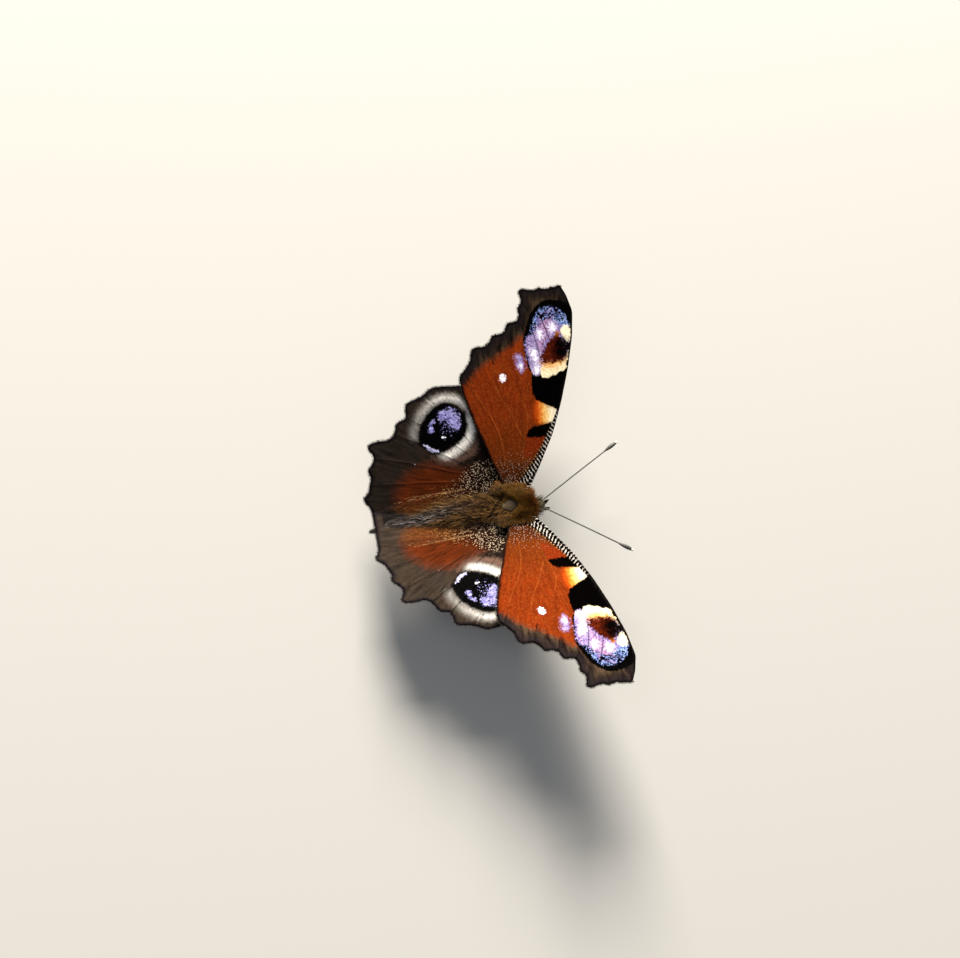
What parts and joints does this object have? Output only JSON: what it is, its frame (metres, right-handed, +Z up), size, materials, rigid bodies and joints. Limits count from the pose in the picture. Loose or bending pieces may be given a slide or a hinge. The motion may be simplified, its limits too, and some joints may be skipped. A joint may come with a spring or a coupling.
{
  "type": "peacock butterfly",
  "caption": "Life-size peacock butterfly standing with its scalloped, eye-spotted wings spread in a shallow V, antennae forward.",
  "frame": {"origin": "on the floor below the middle of the animal's outline", "axes": "+X towards the butterfly's left wing tip, +Y towards its rear, +Z up; the head faces -Y"},
  "size_m": [0.0602, 0.0392, 0.0185],
  "materials": {
    "body_pile": "olive-brown insect pile, fine and hairy",
    "abdomen_pile": "dark brown scaled abdomen with long brown and grey hairs",
    "forewing_scales": "wing scales, red-brown with an eye-spot, matt",
    "hindwing_scales": "wing scales, red-brown and grey-brown with an eye-spot, matt",
    "compound_eye": "dark brown faceted eye, glossy",
    "cuticle": "dark insect cuticle with fine scales"
  },
  "bodies": {
    "root": {"thorax": "body_pile", "head": "body_pile", "abdomen": "abdomen_pile", "proboscis": "cuticle", "eye_left": "compound_eye", "eye_right": "compound_eye", "palp_left": "body_pile", "palp_right": "body_pile", "antenna_left": "cuticle", "antenna_right": "cuticle", "foreleg_left": "cuticle", "foreleg_right": "cuticle", "mid_leg_left": "cuticle", "mid_leg_right": "cuticle", "hind_leg_left": "cuticle", "hind_leg_right": "cuticle", "forewing_left": "forewing_scales", "forewing_right": "forewing_scales", "hindwing_left": "hindwing_scales", "hindwing_right": "hindwing_scales"}
  },
  "joints": []
}
